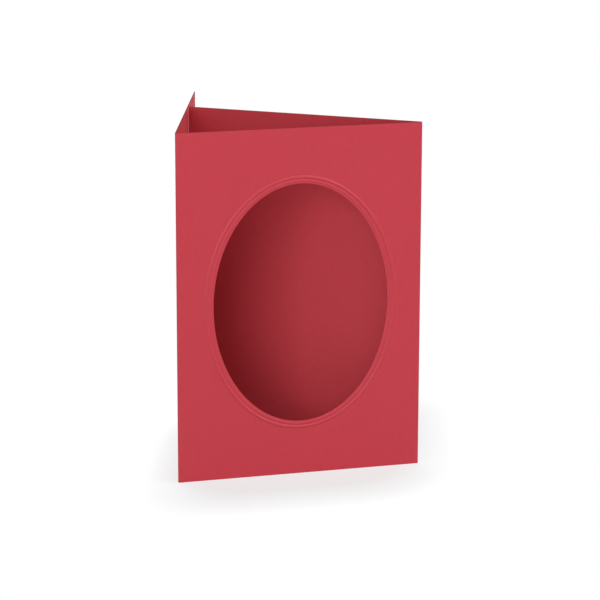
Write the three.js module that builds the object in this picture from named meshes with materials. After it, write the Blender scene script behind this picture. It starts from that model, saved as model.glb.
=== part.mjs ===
// Folded passe-partout card: one sheet of card stock with an oval window and a pressed double rim round it.
// It is made here as the real one is: a flat blank is cut, its rim is pressed, and it is folded at two creases.
// Millimetres, +Z up. The front panel faces -Y and the origin is under the middle of the standing card.
import * as THREE from 'three';

// Blank: three panels side by side, all of one height
const frontWidth = 105;
const backWidth = 105;
const flapWidth = 105;
const cardHeight = 148;
const stockThickness = 0.3;

// Oval window, given by the four borders that it leaves on the front panel
const borderAtFlapFold = 15.3;
const borderAtBackFold = 14.7;
const borderAbove = 23.3;
const borderBelow = 23.1;

// Pressed rim round the window, measured outwards from the window's edge at its top and bottom
const rimLip = 0.4;
const innerBeadWidth = 1.5;
const innerBeadHeight = 0.2;
const outerBeadWidth = 1.55;
const outerBeadHeight = 0.32;
// The rim is this much wider at the window's sides
const rimSideStretch = 1.23;

// Creases: radius inside the fold, and the ridge that scoring leaves in its hollow
const foldInnerRadius = 0.35;
const creaseRidge = 0.1;

// How far the card is opened, and the slit between the back panel's free edge and the flap
const backAngle = THREE.MathUtils.degToRad(35.8);
const freeEdgeGap = 0.3;

// Facets
const windowSegments = 96;
const stepsPerBead = 6;
const stepsPerFold = 10;

// Layout of the flat blank: s runs along it from the flap's free edge, z up it
const foldRadius = foldInnerRadius + stockThickness / 2;
const flapCrease = flapWidth;
const backCrease = flapCrease + frontWidth;
const blankLength = backCrease + backWidth;
const backTurn = Math.PI - backAngle;

// Window in the blank
const windowHalfWidth = (frontWidth - borderAtFlapFold - borderAtBackFold) / 2;
const windowHalfHeight = (cardHeight - borderAbove - borderBelow) / 2;
const windowS = flapCrease + borderAtFlapFold + windowHalfWidth;
const windowZ = borderBelow + windowHalfHeight;

// The bend at a crease takes up this much of the blank on either side of the crease
function bendReach(turn) {
  return (foldRadius * turn) / 2;
}

// Plan of the back panel: where its straight part starts and ends, with the front panel along y = 0
function backPanelPlan() {
  const centre = new THREE.Vector2(frontWidth - bendReach(backTurn), foldRadius);
  const outward = new THREE.Vector2(Math.sin(backAngle), Math.cos(backAngle));
  const along = new THREE.Vector2(-Math.cos(backAngle), Math.sin(backAngle));
  const start = centre.clone().addScaledVector(outward, foldRadius);
  const end = start.clone().addScaledVector(along, backWidth - bendReach(backTurn));
  return { centre, outward, along, start, end };
}

// Angle between the front panel and the flap, which stops just short of the back panel's free edge
function findFlapAngle() {
  const back = backPanelPlan();
  const freeEdge = back.end.clone().addScaledVector(back.outward, -stockThickness / 2);
  let angle = Math.PI / 2;
  for (let pass = 0; pass < 12; pass += 1) {
    const toEdge = freeEdge.clone().sub(new THREE.Vector2(bendReach(Math.PI - angle), foldRadius));
    angle = toEdge.angle() + Math.asin((freeEdgeGap - foldInnerRadius) / toEdge.length());
  }
  return angle;
}

const flapAngle = findFlapAngle();
const flapTurn = Math.PI - flapAngle;
const flapBend = bendReach(flapTurn);
const backBend = bendReach(backTurn);

// Folding: the plan position of the sheet's middle at s, its outward direction, and how far along a bend it is
function foldedAt(s) {
  if (s < flapCrease - flapBend) {
    const outward = new THREE.Vector2(-Math.sin(flapAngle), Math.cos(flapAngle));
    const along = new THREE.Vector2(Math.cos(flapAngle), Math.sin(flapAngle));
    const start = new THREE.Vector2(flapBend, foldRadius).addScaledVector(outward, foldRadius);
    return { middle: start.addScaledVector(along, flapCrease - flapBend - s), outward, bent: 0 };
  }
  if (s > backCrease + backBend) {
    const back = backPanelPlan();
    const middle = back.start.clone().addScaledVector(back.along, s - backCrease - backBend);
    return { middle, outward: back.outward, bent: 0 };
  }
  if (s <= flapCrease + flapBend) {
    return onBend(flapBend, (s - flapCrease - flapBend) / foldRadius, (s - flapCrease) / flapBend);
  }
  if (s >= backCrease - backBend) {
    const past = s - backCrease + backBend;
    return onBend(frontWidth - backBend, past / foldRadius, (s - backCrease) / backBend);
  }
  return { middle: new THREE.Vector2(s - flapCrease, 0), outward: new THREE.Vector2(0, -1), bent: 0 };
}

// A point on the bend round (centreX, foldRadius); across runs from -1 to 1 over the bend
function onBend(centreX, turned, across) {
  const direction = -Math.PI / 2 + turned;
  const outward = new THREE.Vector2(Math.cos(direction), Math.sin(direction));
  const middle = new THREE.Vector2(centreX, foldRadius).addScaledVector(outward, foldRadius);
  return { middle, outward, bent: Math.cos((across * Math.PI) / 2) ** 2 };
}

// Pressed rim: rows across it, each with its distance from the window's edge, its height and its slope
function rimRows() {
  const rows = [{ distance: 0, height: 0, slope: 0 }, { distance: rimLip, height: 0, slope: 0 }];
  const beads = [
    { start: rimLip, width: innerBeadWidth, height: innerBeadHeight },
    { start: rimLip + innerBeadWidth, width: outerBeadWidth, height: outerBeadHeight },
  ];
  for (const bead of beads) {
    for (let step = 1; step <= stepsPerBead; step += 1) {
      const phase = (2 * Math.PI * step) / stepsPerBead;
      rows.push({
        distance: bead.start + (bead.width * step) / stepsPerBead,
        height: (bead.height * (1 - Math.cos(phase))) / 2,
        slope: (bead.height * Math.PI * Math.sin(phase)) / bead.width,
      });
    }
  }
  return rows;
}

// Points of the blank, each as its place on the outer and on the inner face: s, z and height off the middle
const outerFace = [];
const innerFace = [];
const triangles = [];

function addPoint(placeOnSide) {
  outerFace.push(placeOnSide(1));
  innerFace.push(placeOnSide(-1));
  return outerFace.length - 1;
}

function addPlainPoint(s, z) {
  return addPoint((side) => {
    const ridge = side < 0 ? creaseRidge * foldedAt(s).bent : 0;
    return { s, z, off: side * (stockThickness / 2 + ridge) };
  });
}

// A point of the rim keeps the stock's thickness square to the pressed slope
function addRimPoint(row, angle) {
  return addPoint((side) => {
    const tilt = Math.atan(row.slope);
    const distance = row.distance - (side * stockThickness * Math.sin(tilt)) / 2;
    return {
      s: windowS + (windowHalfWidth + distance * rimSideStretch) * Math.cos(angle),
      z: windowZ + (windowHalfHeight + distance) * Math.sin(angle),
      off: row.height + (side * stockThickness * Math.cos(tilt)) / 2,
    };
  });
}

// Two faces of the blank between two matching rows of points, the second row outside or to the right
function addStrip(first, second, closed) {
  const count = closed ? first.length : first.length - 1;
  for (let i = 0; i < count; i += 1) {
    const next = (i + 1) % first.length;
    triangles.push([first[i], second[i], second[next]]);
    triangles.push([first[i], second[next], first[next]]);
  }
}

// A column of two points across the blank's height
function addColumn(s) {
  return [addPlainPoint(s, 0), addPlainPoint(s, cardHeight)];
}

// Columns over the bend at a crease, from its left to its right end
function addBend(crease, reach) {
  const columns = [];
  for (let step = 0; step <= stepsPerFold; step += 1) {
    columns.push(addColumn(crease + reach * ((2 * step) / stepsPerFold - 1)));
  }
  for (let step = 0; step < stepsPerFold; step += 1) {
    addStrip(columns[step], columns[step + 1], false);
  }
  return { left: columns[0], right: columns[stepsPerFold] };
}

// The rim from the window's edge outwards; returns its outermost ring of points
function addRim() {
  const rings = rimRows().map((row) => {
    const ring = [];
    for (let i = 0; i < windowSegments; i += 1) {
      ring.push(addRimPoint(row, (2 * Math.PI * i) / windowSegments));
    }
    return ring;
  });
  for (let i = 0; i + 1 < rings.length; i += 1) {
    addStrip(rings[i], rings[i + 1], true);
  }
  return rings[rings.length - 1];
}

// The flat part of the front panel, between the two bends and round the rim
function addFrontPanel(left, right, rimEdge) {
  const outline = [left[0], right[0], right[1], left[1]];
  const flat = (index) => new THREE.Vector2(outerFace[index].s, outerFace[index].z);
  const points = [...outline, ...rimEdge];
  for (const face of THREE.ShapeUtils.triangulateShape(outline.map(flat), [rimEdge.map(flat)])) {
    const corners = face.map((i) => points[i]);
    const [a, b, c] = corners.map(flat);
    const turnsLeft = b.clone().sub(a).cross(c.clone().sub(a)) > 0;
    triangles.push(turnsLeft ? corners : corners.reverse());
  }
}

// The whole blank
function layOutBlank() {
  const flapEnd = addColumn(0);
  const flapFold = addBend(flapCrease, flapBend);
  const backFold = addBend(backCrease, backBend);
  const backEnd = addColumn(blankLength);
  addStrip(flapEnd, flapFold.left, false);
  addFrontPanel(flapFold.right, backFold.left, addRim());
  addStrip(backFold.right, backEnd, false);
}

// Cut edges: each edge that only one triangle of the outer face uses gets a wall to the inner face
function cutEdges() {
  const used = new Set();
  for (const [a, b, c] of triangles) {
    used.add(`${a} ${b}`).add(`${b} ${c}`).add(`${c} ${a}`);
  }
  const walls = [];
  const innerStart = outerFace.length;
  for (const edge of used) {
    const [from, to] = edge.split(' ').map(Number);
    if (!used.has(`${to} ${from}`)) {
      walls.push([to, from, innerStart + from], [to, innerStart + from, innerStart + to]);
    }
  }
  return walls;
}

// The folded sheet as one closed mesh
function foldedSheet() {
  layOutBlank();
  const position = [];
  for (const point of [...outerFace, ...innerFace]) {
    const { middle, outward } = foldedAt(point.s);
    const plan = middle.addScaledVector(outward, point.off);
    position.push(plan.x, plan.y, point.z);
  }
  const innerStart = outerFace.length;
  const innerTriangles = triangles.map(([a, b, c]) => [innerStart + a, innerStart + c, innerStart + b]);
  const geometry = new THREE.BufferGeometry();
  geometry.setAttribute('position', new THREE.Float32BufferAttribute(position, 3));
  geometry.setIndex([...triangles, ...innerTriangles, ...cutEdges()].flat());
  geometry.computeVertexNormals();
  return geometry;
}

// Puts the origin under the middle of the card's box
function standOnOrigin(geometry) {
  geometry.computeBoundingBox();
  const { min, max } = geometry.boundingBox;
  geometry.translate(-(min.x + max.x) / 2, -(min.y + max.y) / 2, -min.z);
  return geometry;
}

const redCardStock = new THREE.MeshStandardMaterial({ color: 0xc0444f, roughness: 0.9, metalness: 0 });

const foldedCard = new THREE.Mesh(standOnOrigin(foldedSheet()), redCardStock);
foldedCard.name = 'folded_card';

const card = new THREE.Group();
card.add(foldedCard);

export default card;
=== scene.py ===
"""Looks of a folded passe-partout card: the pressed, folded sheet, its stock and a plain white stage."""

import math

import bmesh
import bpy
from bpy.props import FloatProperty, FloatVectorProperty, IntProperty, PointerProperty
from mathutils import Matrix, Vector


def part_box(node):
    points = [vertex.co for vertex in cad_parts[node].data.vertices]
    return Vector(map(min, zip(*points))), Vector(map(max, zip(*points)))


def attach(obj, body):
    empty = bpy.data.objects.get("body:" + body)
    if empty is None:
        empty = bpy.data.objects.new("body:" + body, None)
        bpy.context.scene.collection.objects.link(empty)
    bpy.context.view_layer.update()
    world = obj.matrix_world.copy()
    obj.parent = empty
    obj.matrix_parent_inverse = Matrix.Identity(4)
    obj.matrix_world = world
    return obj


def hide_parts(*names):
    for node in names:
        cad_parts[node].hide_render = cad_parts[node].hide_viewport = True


bl_info = {
    "name": "Passe-partout Card",
    "version": (1, 0, 0),
    "blender": (4, 5, 0),
    "location": "3D View > Sidebar > Card",
    "description": "Models a folded card with an oval window and a pressed rim, and a white stage for it",
    "category": "Object",
}

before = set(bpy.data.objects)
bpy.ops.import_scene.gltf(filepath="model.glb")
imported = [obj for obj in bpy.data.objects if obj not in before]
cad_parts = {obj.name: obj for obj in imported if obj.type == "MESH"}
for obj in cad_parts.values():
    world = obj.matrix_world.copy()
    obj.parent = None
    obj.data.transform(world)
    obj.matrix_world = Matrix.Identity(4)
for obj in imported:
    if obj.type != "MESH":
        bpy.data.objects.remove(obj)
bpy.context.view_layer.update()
SHEET_LOW, SHEET_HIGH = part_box("folded_card")

# Facets
STEPS_PER_BEAD = 14
STEPS_PER_FOLD = 16
CUT_EDGE_SEGMENTS = 2

# Fine sizes of the sheet in metres
RIM_MARGIN = 0.0006
FOLD_SUPPORT = 0.0004
CUT_EDGE_ROUNDING = 0.00004

# Shading: edges sharper than the first angle are rounded, and those below the second are shaded smooth
CUT_EDGE_ANGLE = math.radians(60)
SMOOTH_ANGLE = math.radians(35)
LARGE_FACE_WEIGHT = 100

# Material slots of the sheet, after the outer face's
CUT_SLOT = 1
INNER_SLOT = 2

# How far a point may lie off the edge or face that it is looked for on
ON_LINE = 1e-6
ON_HOLLOW = 2e-6
ON_OVAL = 1e-4

# Finishes of the card stock: roughness, specular level and depth of the grain in metres
OUTER_FINISH = (0.5, 0.42, 0.00003)
INNER_FINISH = (0.78, 0.26, 0.00003)
CUT_FINISH = (0.9, 0.1, 0.00004)

# Grain of the stock: scale of each noise and its stretch, which is longest up the card
CLOUDS = (55, (1, 1, 0.7))
MOTTLE = (950, (1, 1, 0.45))
FIBRES = (3200, (1, 1, 0.12))
GRAIN_DETAIL = 5
GRAIN_ROUGHNESS = 0.62
GRAIN_STRENGTH = 0.35

# Tones of the dye: the range of each noise and the tones that it gives
CLOUD_TONES = (0.3, 0.7, 0.985, 1.015)
MOTTLE_TONES = (0.3, 0.7, 0.97, 1.03)
FIBRE_TONES = (0.35, 0.7, 0.975, 1.03)

# Lamps: azimuth and elevation in degrees, seen from the card
LAMPS = (
    ("right_lamp", 60, 40),
    ("top_lamp", 10, 60),
    ("low_lamp", -37, 17),
    ("back_lamp", 180, 45),
)

# Floor in metres, with a little less red because the card throws red light on it
FLOOR_SIZE = 30
FLOOR_COLOUR = (0.77, 0.8, 0.8, 1)

# Share of the shadow's area, out from its middle, at which it starts to fade
SHADOW_FADE_START = 0.4

# Camera sensor in millimetres
SENSOR_WIDTH = 36


class CardSheetSettings(bpy.types.PropertyGroup):
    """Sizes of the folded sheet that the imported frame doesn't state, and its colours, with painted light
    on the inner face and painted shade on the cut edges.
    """

    panel_width: FloatProperty(
        name="Panel Width",
        description="Width of each of the three panels on the flat sheet",
        default=0.105,
        unit="LENGTH",
    )
    thickness: FloatProperty(
        name="Card Thickness",
        description="Thickness of the card stock",
        default=0.0003,
        precision=5,
        unit="LENGTH",
    )
    back_angle: FloatProperty(
        name="Back Panel Angle",
        description="Angle between the front panel and the back panel",
        default=math.radians(35.8),
        subtype="ANGLE",
    )
    edge_gap: FloatProperty(
        name="Free Edge Gap",
        description="Slit between the back panel's free edge and the flap",
        default=0.0003,
        precision=5,
        unit="LENGTH",
    )
    fold_radius: FloatProperty(
        name="Fold Radius",
        description="Radius of the sheet's middle round each fold",
        default=0.0005,
        precision=5,
        unit="LENGTH",
    )
    crease_ridge: FloatProperty(
        name="Crease Ridge",
        description="Height of the ridge that scoring leaves inside each fold",
        default=0.0001,
        precision=5,
        unit="LENGTH",
    )
    border_flap_side: FloatProperty(
        name="Border at Flap Fold",
        description="Card between the window and the fold of the flap",
        default=0.0153,
        unit="LENGTH",
    )
    border_back_side: FloatProperty(
        name="Border at Back Fold",
        description="Card between the window and the fold of the back panel",
        default=0.0147,
        unit="LENGTH",
    )
    border_above: FloatProperty(
        name="Border Above", description="Card above the window", default=0.0233, unit="LENGTH"
    )
    border_below: FloatProperty(
        name="Border Below", description="Card below the window", default=0.0231, unit="LENGTH"
    )
    rim_lip: FloatProperty(
        name="Rim Lip",
        description="Flat card between the window's edge and the inner bead",
        default=0.0004,
        precision=5,
        unit="LENGTH",
    )
    inner_bead_width: FloatProperty(
        name="Inner Bead Width",
        description="Width of the pressed bead next to the window",
        default=0.0015,
        precision=5,
        unit="LENGTH",
    )
    outer_bead_width: FloatProperty(
        name="Outer Bead Width",
        description="Width of the outer pressed bead",
        default=0.00155,
        precision=5,
        unit="LENGTH",
    )
    inner_bead_height: FloatProperty(
        name="Inner Bead Height",
        description="How far the bead next to the window is pressed out",
        default=0.0002,
        precision=5,
        unit="LENGTH",
    )
    outer_bead_height: FloatProperty(
        name="Outer Bead Height",
        description="How far the outer bead is pressed out",
        default=0.00032,
        precision=5,
        unit="LENGTH",
    )
    rim_side_stretch: FloatProperty(
        name="Rim Side Stretch",
        description="How much wider the rim is at the window's sides than at its ends",
        default=1.23,
    )
    window_points: IntProperty(
        name="Window Points", description="Points round the oval window", default=256, min=32
    )
    face_colour: FloatVectorProperty(
        name="Outer Colour",
        description="Colour of the card's outer face",
        subtype="COLOR",
        size=3,
        min=0,
        max=1,
        default=(0.52, 0.031, 0.05),
    )
    # Inner colour: the card's red made lighter and paler, which is painted light and sheen on the inner
    # faces.
    inner_colour_with_painted_light: FloatVectorProperty(
        name="Inner Colour",
        description="Colour of the card's inner face, which is rougher",
        subtype="COLOR",
        size=3,
        min=0,
        max=1,
        default=(0.55, 0.05, 0.067),
    )
    # Cut edge colour: the card's red darkened almost to black, which is painted shade on the thin cut
    # edges.
    cut_colour_with_painted_shade: FloatVectorProperty(
        name="Cut Edge Colour",
        description="Colour of the pressed fibres along the cut edges",
        subtype="COLOR",
        size=3,
        min=0,
        max=1,
        default=(0.11, 0.012, 0.018),
    )


class CardStageSettings(bpy.types.PropertyGroup):
    """Camera, lamps and floor."""

    azimuth: FloatProperty(
        name="Camera Azimuth",
        description="Camera's angle to the front panel's middle line, below zero on the flap's side",
        default=math.radians(-15.63),
        subtype="ANGLE",
    )
    elevation: FloatProperty(
        name="Camera Elevation",
        description="Camera's angle above the horizon",
        default=math.radians(13.84),
        subtype="ANGLE",
    )
    roll: FloatProperty(
        name="Camera Roll",
        description="Camera's turn about its line of sight",
        default=math.radians(0.127),
        subtype="ANGLE",
    )
    distance: FloatProperty(
        name="Camera Distance",
        description="Distance from the camera to the middle of the front panel",
        default=1.0809,
        unit="LENGTH",
    )
    aim_side: FloatProperty(
        name="Aim Sideways",
        description="How far to the right of the card's middle the camera looks",
        default=-0.0002,
        precision=5,
        unit="LENGTH",
    )
    aim_height: FloatProperty(
        name="Aim Height",
        description="Height of the point that the camera looks at",
        default=0.0754,
        unit="LENGTH",
    )
    lens: FloatProperty(
        name="Lens", description="Focal length in millimetres", default=155.9, unit="CAMERA"
    )
    sky_strength: FloatProperty(
        name="Sky Strength", description="Even light from all round", default=0.15, min=0
    )
    right_power: FloatProperty(
        name="Right Lamp Power",
        description="Power of the main lamp, which grazes the front panel from the upper right",
        default=12.0,
        min=0,
    )
    top_power: FloatProperty(
        name="Top Lamp Power",
        description="Power of the lamp high in front of the card",
        default=4.0,
        min=0,
    )
    low_power: FloatProperty(
        name="Low Lamp Power",
        description="Power of the low lamp that shines into the window from the left",
        default=9.8,
        min=0,
    )
    back_power: FloatProperty(
        name="Back Lamp Power",
        description="Power of the lamp high behind the card",
        default=8.0,
        min=0,
    )
    lamp_size: FloatProperty(
        name="Lamp Size", description="Side of each square lamp", default=1.0, min=0.01, unit="LENGTH"
    )
    lamp_distance: FloatProperty(
        name="Lamp Distance",
        description="Distance from each lamp to the card",
        default=1.5,
        min=0.1,
        unit="LENGTH",
    )
    shadow_share: FloatProperty(
        name="Shadow Share",
        description="How much of the light and shade on the floor by the card is seen",
        default=0.46,
        min=0,
        max=1,
    )
    shadow_width: FloatProperty(
        name="Shadow Width",
        description="Distance beside the shadow's middle at which the floor is seen plain white",
        default=0.068,
        unit="LENGTH",
    )
    shadow_depth: FloatProperty(
        name="Shadow Depth",
        description="Distance before and behind the shadow's middle at which the floor is seen plain white",
        default=0.078,
        unit="LENGTH",
    )
    shadow_forward: FloatProperty(
        name="Shadow Forward",
        description="How far the shadow's middle lies in front of the card's",
        default=0.02,
        unit="LENGTH",
    )
    shadow_lean: FloatProperty(
        name="Shadow Lean",
        description="How far the shadow's sides run to the right on their way back, along the flap",
        default=0.32,
    )


def select_edges(obj, wanted):
    """In edit mode, selects the edges whose two ends both pass the test, and nothing else."""
    bpy.ops.mesh.select_all(action="DESELECT")
    bpy.ops.mesh.select_mode(type="EDGE")
    mesh = bmesh.from_edit_mesh(obj.data)
    for edge in mesh.edges:
        edge.select = all(wanted(vert.co) for vert in edge.verts)
    mesh.select_flush_mode()
    bmesh.update_edit_mesh(obj.data)


class SheetPlan:
    """Where the folded sheet's middle lies in plan, worked out from the frame and the settings."""

    def __init__(self, settings):
        self.settings = settings
        radius = settings.fold_radius
        half = settings.thickness / 2
        self.height = SHEET_HIGH.z
        self.front_y = SHEET_LOW.y + half + settings.outer_bead_height
        self.back_turn = math.pi - settings.back_angle
        back_bend = radius * self.back_turn / 2
        self.back_centre = Vector((SHEET_HIGH.x - radius - half, self.front_y + radius, 0))
        self.back_along = Vector((-math.cos(settings.back_angle), math.sin(settings.back_angle), 0))
        self.back_length = settings.panel_width - back_bend
        self.flap_centre = Vector((SHEET_LOW.x + radius + half, self.front_y + radius, 0))
        self.flap_angle = self.find_flap_angle()
        self.flap_turn = math.pi - self.flap_angle
        self.flap_along = Vector((math.cos(self.flap_angle), math.sin(self.flap_angle), 0))
        self.flap_length = settings.panel_width - radius * self.flap_turn / 2

    def find_flap_angle(self):
        """The flap's inner face leaves the fold's hollow and clears the back panel's edge by the gap."""
        settings = self.settings
        half = settings.thickness / 2
        outward = Vector((math.sin(settings.back_angle), math.cos(settings.back_angle), 0))
        middle = self.back_centre + outward * settings.fold_radius
        free_edge = middle + self.back_along * self.back_length - outward * half
        reach = free_edge - self.flap_centre
        slack = settings.edge_gap - (settings.fold_radius - half)
        return math.atan2(reach.y, reach.x) + math.asin(slack / reach.length)

    def window(self):
        """The window's centre and its half width and half height."""
        settings = self.settings
        left = self.flap_centre.x - settings.fold_radius * self.flap_turn / 2
        half_width = (settings.panel_width - settings.border_flap_side - settings.border_back_side) / 2
        half_height = (self.height - settings.border_above - settings.border_below) / 2
        x = left + settings.border_flap_side + half_width
        return Vector((x, self.front_y, settings.border_below + half_height)), half_width, half_height


def rim_profile(settings):
    """Rows across the pressed rim: distance from the window's edge and height of the sheet."""
    rows = [(0.0, 0.0), (settings.rim_lip / 2, 0.0), (settings.rim_lip, 0.0)]
    beads = (
        (settings.inner_bead_width, settings.inner_bead_height),
        (settings.outer_bead_width, settings.outer_bead_height),
    )
    for width, height in beads:
        start = rows[-1][0]
        for step in range(1, STEPS_PER_BEAD + 1):
            share = step / STEPS_PER_BEAD
            lift = height * (1 - math.cos(2 * math.pi * share)) / 2
            rows.append((start + width * share, lift))
    rows.append((rows[-1][0] + RIM_MARGIN, 0.0))
    return rows


def press_rim(plan):
    """Starts the sheet at the window's edge and extrudes it outwards, row by row, over the two beads."""
    settings = plan.settings
    centre, half_width, half_height = plan.window()
    bpy.ops.object.select_all(action="DESELECT")
    bpy.ops.mesh.primitive_circle_add(
        vertices=settings.window_points,
        radius=1,
        fill_type="NOTHING",
        location=centre,
        rotation=(math.pi / 2, 0, 0),
    )
    sheet = bpy.context.object
    bpy.ops.object.transform_apply(location=True, rotation=True, scale=True)
    bpy.ops.object.mode_set(mode="EDIT")
    bpy.ops.mesh.select_all(action="SELECT")
    bpy.ops.transform.resize(value=(half_width, 1, half_height), center_override=centre)
    last_width, last_height, last_lift = half_width, half_height, 0.0
    for distance, lift in rim_profile(settings)[1:]:
        width = half_width + distance * settings.rim_side_stretch
        height = half_height + distance
        bpy.ops.mesh.extrude_region_move(TRANSFORM_OT_translate={"value": (0, last_lift - lift, 0)})
        bpy.ops.transform.resize(
            value=(width / last_width, 1, height / last_height), center_override=centre
        )
        last_width, last_height, last_lift = width, height, lift
    return sheet, last_width, last_height


def add_front_panel(sheet, plan, rim_width, rim_height):
    """Adds the front panel's outline in front of the rim, bridges the two, and pushes the outline back."""
    left, right = plan.flap_centre.x, plan.back_centre.x
    forward = plan.height
    middle = Vector(((left + right) / 2, plan.front_y - forward, plan.height / 2))
    bpy.ops.mesh.select_all(action="DESELECT")
    bpy.ops.mesh.primitive_plane_add(size=1, location=middle, rotation=(math.pi / 2, 0, 0))
    bpy.ops.transform.resize(value=(right - left, 1, plan.height), center_override=middle)
    bpy.ops.mesh.delete(type="ONLY_FACE")

    def on_outline(point):
        return point.y < plan.front_y - forward / 2

    select_edges(sheet, on_outline)
    bpy.ops.mesh.subdivide(number_cuts=plan.settings.window_points // 4 - 1)
    centre = plan.window()[0]

    def on_rim_edge(point):
        reach = math.hypot((point.x - centre.x) / rim_width, (point.z - centre.z) / rim_height)
        return not on_outline(point) and abs(reach - 1) < ON_OVAL

    select_edges(sheet, lambda point: on_outline(point) or on_rim_edge(point))
    bpy.ops.mesh.bridge_edge_loops()
    select_edges(sheet, on_outline)
    bpy.ops.transform.translate(value=(0, forward, 0))


def fold_panel(sheet, side_x, centre, turn, along, length):
    """Spins the front panel's side edge round a fold, clockwise for plus, and extrudes the next panel."""
    select_edges(sheet, lambda point: abs(point.x - side_x) < ON_LINE)
    bpy.ops.mesh.spin(steps=STEPS_PER_FOLD, angle=turn, center=centre, axis=(0, 0, 1))
    for part in (FOLD_SUPPORT, length - 2 * FOLD_SUPPORT, FOLD_SUPPORT):
        bpy.ops.mesh.extrude_region_move(TRANSFORM_OT_translate={"value": along * part})


def thicken(sheet, settings):
    """Gives the sheet its thickness, with the cut edges in painted shade and the inner face in painted
    light, each in a material of its own.
    """
    bpy.ops.mesh.select_all(action="SELECT")
    bpy.ops.mesh.remove_doubles(threshold=ON_LINE)
    bpy.ops.mesh.normals_make_consistent(inside=False)
    bpy.ops.object.mode_set(mode="OBJECT")
    solid = sheet.modifiers.new("Card Thickness", "SOLIDIFY")
    solid.thickness = settings.thickness
    solid.offset = 0
    solid.use_even_offset = True
    solid.material_offset = INNER_SLOT
    solid.material_offset_rim = CUT_SLOT
    bpy.ops.object.modifier_apply(modifier=solid.name)


def raise_crease_ridges(sheet, plan):
    """Lifts the ridge that scoring leaves in the hollow of each fold."""
    settings = plan.settings
    hollow = settings.fold_radius - settings.thickness / 2
    for centre, first, turn in (
        (plan.back_centre, -math.pi / 2, plan.back_turn),
        (plan.flap_centre, -math.pi / 2 - plan.flap_turn, plan.flap_turn),
    ):
        for vert in sheet.data.vertices:
            spoke = Vector((vert.co.x - centre.x, vert.co.y - centre.y, 0))
            if abs(spoke.length - hollow) < ON_HOLLOW:
                share = ((math.atan2(spoke.y, spoke.x) - first) % (2 * math.pi)) / turn
                if share < 1:
                    height = settings.crease_ridge * math.sin(math.pi * share) ** 2
                    vert.co -= spoke.normalized() * height


def soften(sheet):
    """Rounds the cut edges a little and shades the beads and folds smooth."""
    edge = sheet.modifiers.new("Cut Edge Wear", "BEVEL")
    edge.width = CUT_EDGE_ROUNDING
    edge.segments = CUT_EDGE_SEGMENTS
    edge.limit_method = "ANGLE"
    edge.angle_limit = CUT_EDGE_ANGLE
    bpy.ops.object.modifier_apply(modifier=edge.name)
    bpy.ops.object.shade_smooth_by_angle(angle=SMOOTH_ANGLE)
    weighted = sheet.modifiers.new("Flat Panels", "WEIGHTED_NORMAL")
    weighted.keep_sharp = True
    weighted.weight = LARGE_FACE_WEIGHT
    bpy.ops.object.modifier_apply(modifier=weighted.name)


def texture_at(nodes, links, scale, stretch):
    """A fine noise on Object coordinates, stretched along the sheet's grain."""
    place = nodes.new("ShaderNodeTexCoord")
    mapping = nodes.new("ShaderNodeMapping")
    mapping.inputs["Scale"].default_value = stretch
    noise = nodes.new("ShaderNodeTexNoise")
    noise.inputs["Scale"].default_value = scale
    noise.inputs["Detail"].default_value = GRAIN_DETAIL
    noise.inputs["Roughness"].default_value = GRAIN_ROUGHNESS
    links.new(place.outputs["Object"], mapping.inputs["Vector"])
    links.new(mapping.outputs["Vector"], noise.inputs["Vector"])
    return noise.outputs["Fac"]


def ranged(nodes, links, value, low, high, to_low, to_high):
    """Maps a value from one range to another."""
    remap = nodes.new("ShaderNodeMapRange")
    remap.inputs["From Min"].default_value = low
    remap.inputs["From Max"].default_value = high
    remap.inputs["To Min"].default_value = to_low
    remap.inputs["To Max"].default_value = to_high
    links.new(value, remap.inputs["Value"])
    return remap.outputs["Result"]


def multiplied(nodes, links, first, second):
    """The product of two values."""
    product = nodes.new("ShaderNodeMath")
    product.operation = "MULTIPLY"
    links.new(first, product.inputs[0])
    links.new(second, product.inputs[1])
    return product.outputs["Value"]


def card_stock(name, colour, finish):
    """Uncoated card, dyed through: fine fibres along the grain, a slight clouding and a matt face."""
    roughness, gloss, relief = finish
    material = bpy.data.materials.new(name)
    material.use_nodes = True
    nodes, links = material.node_tree.nodes, material.node_tree.links
    shader = nodes["Principled BSDF"]
    mottle = texture_at(nodes, links, *MOTTLE)
    fibres = texture_at(nodes, links, *FIBRES)
    tone = ranged(nodes, links, texture_at(nodes, links, *CLOUDS), *CLOUD_TONES)
    tone = multiplied(nodes, links, tone, ranged(nodes, links, mottle, *MOTTLE_TONES))
    tone = multiplied(nodes, links, tone, ranged(nodes, links, fibres, *FIBRE_TONES))
    # The colour given is the card's red. For the cut edges it also holds painted shade, and for the inner
    # face it holds painted light.
    dye_and_painted_light = nodes.new("ShaderNodeMix")
    dye_and_painted_light.data_type = "RGBA"
    dye_and_painted_light.blend_type = "MULTIPLY"
    dye_and_painted_light.inputs["Factor"].default_value = 1
    dye_and_painted_light.inputs["A"].default_value = (*colour, 1)
    links.new(tone, dye_and_painted_light.inputs["B"])
    links.new(dye_and_painted_light.outputs["Result"], shader.inputs["Base Color"])
    shader.inputs["Roughness"].default_value = roughness
    shader.inputs["Specular IOR Level"].default_value = gloss
    surface = nodes.new("ShaderNodeMath")
    surface.operation = "ADD"
    links.new(mottle, surface.inputs[0])
    links.new(fibres, surface.inputs[1])
    bump = nodes.new("ShaderNodeBump")
    bump.inputs["Strength"].default_value = GRAIN_STRENGTH
    bump.inputs["Distance"].default_value = relief
    links.new(surface.outputs["Value"], bump.inputs["Height"])
    links.new(bump.outputs["Normal"], shader.inputs["Normal"])
    return material


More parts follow.
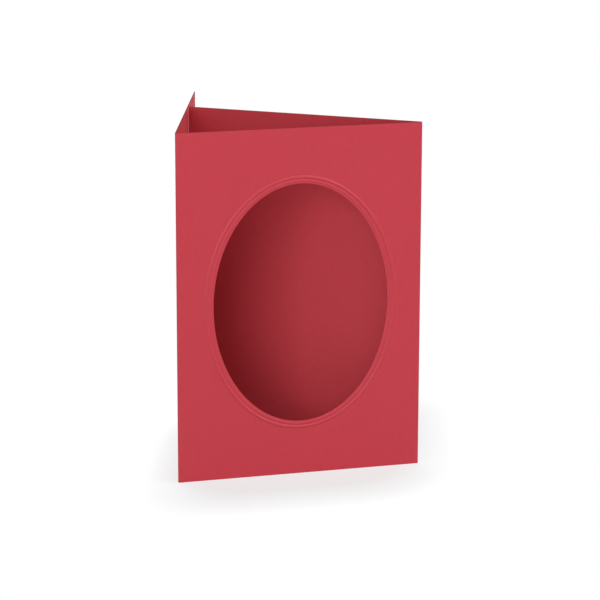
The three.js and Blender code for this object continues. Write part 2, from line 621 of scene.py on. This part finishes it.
class OBJECT_OT_folded_card(bpy.types.Operator):
    """Model the folded card with its window, pressed rim and rounded folds"""

    bl_idname = "object.passe_partout_folded_card"
    bl_label = "Folded Card"
    bl_options = {"REGISTER", "UNDO"}

    def execute(self, context):
        settings = context.scene.card_sheet
        plan = SheetPlan(settings)
        sheet, rim_width, rim_height = press_rim(plan)
        sheet.name = "folded_card_sheet"
        sheet.data.materials.append(card_stock("Outer Face", settings.face_colour, OUTER_FINISH))
        # The cut edges get painted shade from their near-black colour.
        sheet.data.materials.append(card_stock("Cut Edge", settings.cut_colour_with_painted_shade, CUT_FINISH))
        # The inner face gets painted light and sheen from its lighter, paler colour.
        sheet.data.materials.append(card_stock("Inner Face", settings.inner_colour_with_painted_light, INNER_FINISH))
        add_front_panel(sheet, plan, rim_width, rim_height)
        back = plan.back_centre
        flap = plan.flap_centre
        fold_panel(sheet, back.x, back, -plan.back_turn, plan.back_along, plan.back_length)
        fold_panel(sheet, flap.x, flap, plan.flap_turn, plan.flap_along, plan.flap_length)
        thicken(sheet, settings)
        raise_crease_ridges(sheet, plan)
        soften(sheet)
        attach(sheet, "root")
        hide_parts("folded_card")
        return {"FINISHED"}


def seen_plainly(nodes, links):
    """One for what the camera sees, straight or in gloss or glass, and zero for light on the card."""
    path = nodes.new("ShaderNodeLightPath")
    total = path.outputs["Is Camera Ray"]
    for name in ("Is Glossy Ray", "Is Transmission Ray"):
        either = nodes.new("ShaderNodeMath")
        either.operation = "MAXIMUM"
        links.new(total, either.inputs[0])
        links.new(path.outputs[name], either.inputs[1])
        total = either.outputs["Value"]
    return total


def shade_shown(nodes, links, stage):
    """One where the floor is seen plain white, and less in a soft-sided area round the card."""
    place = nodes.new("ShaderNodeTexCoord")
    moved = nodes.new("ShaderNodeMapping")
    to_front = stage.shadow_forward + SHEET_LOW.y
    moved.inputs["Location"].default_value = (stage.shadow_lean * to_front, stage.shadow_forward, 0)
    links.new(place.outputs["Object"], moved.inputs["Vector"])
    inside = nodes.new("ShaderNodeCombineXYZ")
    across = (1 / stage.shadow_width, -stage.shadow_lean / stage.shadow_width, 0)
    along = (0, 1 / stage.shadow_depth, 0)
    for axis, scale in (("X", across), ("Y", along)):
        part = nodes.new("ShaderNodeVectorMath")
        part.operation = "DOT_PRODUCT"
        part.inputs[1].default_value = scale
        links.new(moved.outputs["Vector"], part.inputs[0])
        links.new(part.outputs["Value"], inside.inputs[axis])
    squared = nodes.new("ShaderNodeVectorMath")
    squared.operation = "MULTIPLY"
    links.new(inside.outputs["Vector"], squared.inputs[0])
    links.new(inside.outputs["Vector"], squared.inputs[1])
    distance = nodes.new("ShaderNodeVectorMath")
    distance.operation = "LENGTH"
    links.new(squared.outputs["Vector"], distance.inputs[0])
    plainest = 1 - stage.shadow_share
    return ranged(nodes, links, distance.outputs["Value"], SHADOW_FADE_START, 1, plainest, 1)


def white_floor(stage):
    """A pale floor: the card gets plain pale light, the camera sees white with the card's soft shadow."""
    material = bpy.data.materials.new("White Floor")
    material.use_nodes = True
    nodes, links = material.node_tree.nodes, material.node_tree.links
    nodes.remove(nodes["Principled BSDF"])
    pale = nodes.new("ShaderNodeBsdfDiffuse")
    pale.inputs["Color"].default_value = FLOOR_COLOUR
    white = nodes.new("ShaderNodeEmission")
    white.inputs["Strength"].default_value = 1
    share = multiplied(nodes, links, seen_plainly(nodes, links), shade_shown(nodes, links, stage))
    surface = nodes.new("ShaderNodeMixShader")
    links.new(share, surface.inputs["Fac"])
    links.new(pale.outputs["BSDF"], surface.inputs[1])
    links.new(white.outputs["Emission"], surface.inputs[2])
    links.new(surface.outputs["Shader"], nodes["Material Output"].inputs["Surface"])
    return material


def light_sky(strength):
    """An even white sky: plain light for the card, pure white for the camera and in reflections."""
    world = bpy.data.worlds.new("White Sky")
    bpy.context.scene.world = world
    world.use_nodes = True
    nodes, links = world.node_tree.nodes, world.node_tree.links
    background = nodes["Background"]
    background.inputs["Color"].default_value = (1, 1, 1, 1)
    seen = seen_plainly(nodes, links)
    links.new(ranged(nodes, links, seen, 0, 1, strength, 1), background.inputs["Strength"])


def direction(azimuth, elevation):
    """The way from the card to a place in front of it, given by its angles."""
    level = math.cos(elevation)
    return Vector((math.sin(azimuth) * level, -math.cos(azimuth) * level, math.sin(elevation)))


def aimed(place, target):
    """The rotation that turns a camera or lamp at a place towards a target."""
    return (target - place).to_track_quat("-Z", "Y")


class OBJECT_OT_card_stage(bpy.types.Operator):
    """Set up the white floor, the sky, the soft lamps and the camera"""

    bl_idname = "object.passe_partout_stage"
    bl_label = "Stage"
    bl_options = {"REGISTER", "UNDO"}

    def execute(self, context):
        stage = context.scene.card_stage
        bpy.ops.object.select_all(action="DESELECT")
        bpy.ops.mesh.primitive_plane_add(size=FLOOR_SIZE, location=(0, 0, 0))
        floor = context.object
        floor.name = "floor"
        floor.data.materials.append(white_floor(stage))
        light_sky(stage.sky_strength)
        target = Vector((stage.aim_side, SHEET_LOW.y, stage.aim_height))
        powers = (stage.right_power, stage.top_power, stage.low_power, stage.back_power)
        for (name, azimuth, elevation), power in zip(LAMPS, powers):
            place = target + direction(math.radians(azimuth), math.radians(elevation)) * stage.lamp_distance
            bpy.ops.object.light_add(type="AREA", location=place)
            lamp = context.object
            lamp.name = name
            lamp.rotation_euler = aimed(place, target).to_euler()
            lamp.data.shape = "SQUARE"
            lamp.data.size = stage.lamp_size
            lamp.data.energy = power
        place = target + direction(stage.azimuth, stage.elevation) * stage.distance
        bpy.ops.object.camera_add(location=place)
        camera = context.object
        camera.name = "camera"
        turn = aimed(place, target).to_matrix() @ Matrix.Rotation(stage.roll, 3, "Z")
        camera.rotation_euler = turn.to_euler()
        camera.data.lens = stage.lens
        camera.data.sensor_width = SENSOR_WIDTH
        context.scene.camera = camera
        context.scene.view_settings.view_transform = "Standard"
        return {"FINISHED"}


class VIEW3D_PT_passe_partout_card(bpy.types.Panel):
    """Lists the card's operators and settings"""

    bl_label = "Passe-partout Card"
    bl_idname = "VIEW3D_PT_passe_partout_card"
    bl_space_type = "VIEW_3D"
    bl_region_type = "UI"
    bl_category = "Card"

    def draw(self, context):
        layout = self.layout
        for operator in OPERATORS:
            layout.operator(operator.bl_idname)
        for settings in (context.scene.card_sheet, context.scene.card_stage):
            box = layout.box()
            for name in settings.__annotations__:
                box.prop(settings, name)


OPERATORS = (OBJECT_OT_card_stage, OBJECT_OT_folded_card)
CLASSES = (CardSheetSettings, CardStageSettings, *OPERATORS, VIEW3D_PT_passe_partout_card)


def register():
    for cls in CLASSES:
        bpy.utils.register_class(cls)
    bpy.types.Scene.card_sheet = PointerProperty(type=CardSheetSettings)
    bpy.types.Scene.card_stage = PointerProperty(type=CardStageSettings)


def unregister():
    del bpy.types.Scene.card_stage
    del bpy.types.Scene.card_sheet
    for cls in reversed(CLASSES):
        bpy.utils.unregister_class(cls)


def main():
    register()
    bpy.ops.object.passe_partout_stage()
    bpy.ops.object.passe_partout_folded_card()


if __name__ == "__main__":
    main()
